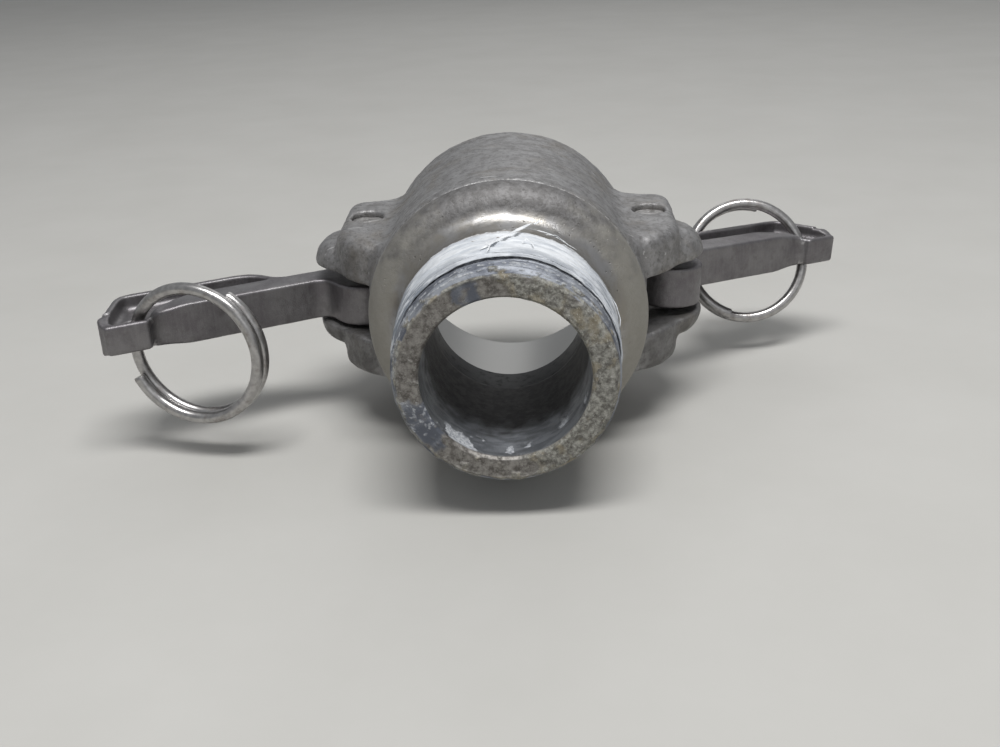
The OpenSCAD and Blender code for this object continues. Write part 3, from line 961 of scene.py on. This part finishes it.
def arm_field(droop):
    """The arm about its pin, with the handle along +X and its inner side towards -Y."""
    tip = ARM_LENGTH
    block_start = tip - BLOCK_LENGTH
    block_half = BLOCK_LENGTH / 2
    cam_end = 13
    handle = rounded_corners([
        (-1, 0.0), (tip, 0.0), (tip, 1.0), (tip - 2.4, 7.0), (tip - 3.5, 9.6), (tip - 5.4, 10.5),
        (20.6, 10.5), (18.0, 9.3), (15.2, 5.2), (-1, 5.2)], 0.9)
    pocket = rounded_corners([
        (16.6, 5.3), (block_start - 7.9, 5.1), (block_start - 3.9, 2.7), (block_start - 1.3, 1.3),
        (block_start, -0.8), (tip - 1.1, -0.8), (tip - 1.1, 0.6), (tip - 3.45, 6.6),
        (tip - 4.6, 9.0), (tip - 5.8, 9.2), (21.2, 9.2), (19.0, 8.2)], 0.7)
    tilt = math.radians(droop)

    def field(x, y, z):
        height = np.abs(z)
        barrel = np.sqrt(x * x + y * y) - BARREL_RADIUS
        cam = np.sqrt((x - CAM_CENTRE[0]) ** 2 + (y - CAM_CENTRE[1]) ** 2) - CAM_RADIUS
        bar = polygon_distance(handle, x, y)
        plan = np.where(x > cam_end, bar, either(either(barrel, cam, 0.6), bar, 3.6))
        block = both(np.abs(x - tip + block_half) - block_half, np.abs(y + 0.3) - 1.5, 0.7)
        plan = np.where(x > block_start - 9, either(plan, block, 2.6), plan)
        # Scooped beside the block, along the inner edge
        scoop = smooth_step(block_start - 7.3, block_start - 1.4, x)
        low_edge = ARM_HALF - 0.7 * scoop * (1 - np.clip(y / 2.1, -0.4, 1))
        low_edge = np.where(x > block_start, np.minimum(low_edge, ARM_HALF - 0.3), low_edge)
        top = np.where(y < 2.5, low_edge, ARM_HALF)
        solid = both(plan, height - top, 0.6)
        hollow = both(polygon_distance(pocket, x, y), WEB_HALF - height, 1.3)
        solid = without(solid, hollow, 0.5)
        upright = x * math.cos(tilt) + z * math.sin(tilt)
        pin_hole = np.sqrt(upright ** 2 + y * y) - (PIN_RADIUS + PIN_CLEARANCE)
        solid = without(solid, pin_hole, 0.4)
        hole = np.sqrt((x - RING_HOLE[0]) ** 2 + (y - RING_HOLE[1]) ** 2) - RING_HOLE_RADIUS
        return without(solid, both(hole, height - 1.4), 0.4)

    return field


def turned(points, axis, degrees):
    """Points turned about an axis through the origin."""
    a = math.radians(degrees)
    turn = np.array(Matrix.Rotation(a, 3, axis))
    return points @ turn.T


def on_hinge(points, side, swing, drop, droop):
    """Takes points from an arm's own axes to the frame's."""
    points = turned(points, "Y", droop) - (0, 0, drop)
    points = turned(points, "Z", swing) + (PIN_OFFSET, PIN_DEPTH - BODY_LENGTH, 0)
    return points * (side, 1, 1)


def make_arm(name, body, side, swing, drop, droop, seed):
    """A cast arm in its rest pose, side -1 for left and 1 for right."""
    points, quads, normals, bulge, hollow = mesh_field(
        arm_field(droop), (-6.2, -9.2, -3.7), (46.2, 10.9, 3.7), 0.19, 0.3)
    wave = 0.022 * rough_noise(points, 3.0, 2, seed) + 0.008 * rough_noise(points, 0.7, 2, seed + 4)
    bore = smooth_step(3.2, 4.2, np.hypot(points[:, 0], points[:, 1]))
    points = points + normals * (wave * bore - 0.02)[:, None]
    points = on_hinge(points, side, swing, drop, droop)
    quads = outward(points, quads)
    obj = add_mesh(name + "_casting", points, quads, {"bulge": bulge, "hollow": hollow})
    return finish_piece(obj, body, name, "arm_steel")


def make_ring(name, body, side, arm, turn, hang, wire):
    """Split ring of wire that passes the hole at its middle; its cut ends are dressed round."""
    over, under = wire
    steps, sides = 440, 32
    a = np.radians(np.linspace(-under, over, steps))
    middle = np.stack([RING_RADIUS * (1 - np.cos(a)), RING_PITCH * a / (2 * math.pi),
                       RING_RADIUS * np.sin(a)], 1)
    outward_way = np.stack([-np.cos(a), 0 * a, np.sin(a)], 1)
    travel = np.radians(over + under) * RING_RADIUS * np.linspace(0, 1, steps)
    end = np.minimum(travel, travel[::-1])
    radius = WIRE_RADIUS * (1 - 0.09 * (1 - np.clip(end / 0.22, 0, 1)) ** 2)
    b = np.arange(sides) * 2 * math.pi / sides
    b = b[None, :, None]
    round_wire = np.cos(b) * outward_way[:, None] + np.sin(b) * np.array([0, 1, 0])
    points = (middle[:, None] + radius[:, None, None] * round_wire).reshape(-1, 3)
    points = turned(turned(turned(points, "X", hang[1]), "Y", hang[0]), "Z", turn)
    points = on_hinge(points + (*RING_HOLE, 0), side, *arm)
    quads = outward(points, grid_faces(steps, sides))
    faces = [list(q) for q in quads]
    caps = [list(range(sides)), [(steps - 1) * sides + j for j in range(sides)]]
    obj = add_mesh(name + "_wire", points, faces + caps, sharp=50)
    fix_normals(obj)
    return finish_piece(obj, body, name, "ring_wire")


# ---------------------------------------------------------------- assembly

MATERIALS = {}
MAKERS = {"cast_steel": cast_steel, "machined_steel": machined_steel,
          "gasket_rubber": gasket_rubber, "seal_tape": seal_tape, "pin_steel": pin_steel,
          "arm_steel": arm_steel, "ring_wire": ring_wire}


def finish_piece(obj, body, node, slot, look=None):
    """Gives a piece its look (the slot's, unless another is given), hangs it on its body and hides the
    CAD node that it stands for.
    """
    look = look or slot
    if look not in MATERIALS:
        MATERIALS[look] = MAKERS[look]()
    obj.data.materials.append(MATERIALS[look])
    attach(obj, body)
    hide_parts(node)
    return obj


def make_floor():
    mesh = bpy.data.meshes.new("pale_floor")
    reach, level = 3.0, -CUP_RADIUS * MM
    corners = [(-reach, -reach, level), (reach, -reach, level), (reach, reach, level),
               (-reach, reach, level)]
    mesh.from_pydata(corners, [], [(0, 1, 2, 3)])
    floor = bpy.data.objects.new("pale_floor", mesh)
    bpy.context.scene.collection.objects.link(floor)
    floor.data.materials.append(floor_material())


make_camera()
make_lights()
make_floor()
make_casting()
make_machined_end()
make_gasket()
make_pin(-1, "left_hinge_pin")
make_pin(1, "right_hinge_pin")
make_tape()
# Each arm at rest: its swing, how far it has slid down its pin, and its droop
LEFT_ARM = (-28, 0.8, 0)
RIGHT_ARM = (35, 0, 4.3)
make_arm("left_cam_arm", "left_arm", -1, *LEFT_ARM, seed=100)
make_arm("right_cam_arm", "right_arm", 1, *RIGHT_ARM, seed=120)
# Each ring at rest: its turn, its sag and lean, and its wire over the top and under the bottom
make_ring("left_pull_ring", "left_ring", -1, LEFT_ARM, -139, (17, 0), (320, 255))
make_ring("right_pull_ring", "right_ring", 1, RIGHT_ARM, 152, (14, 24), (239, 298))
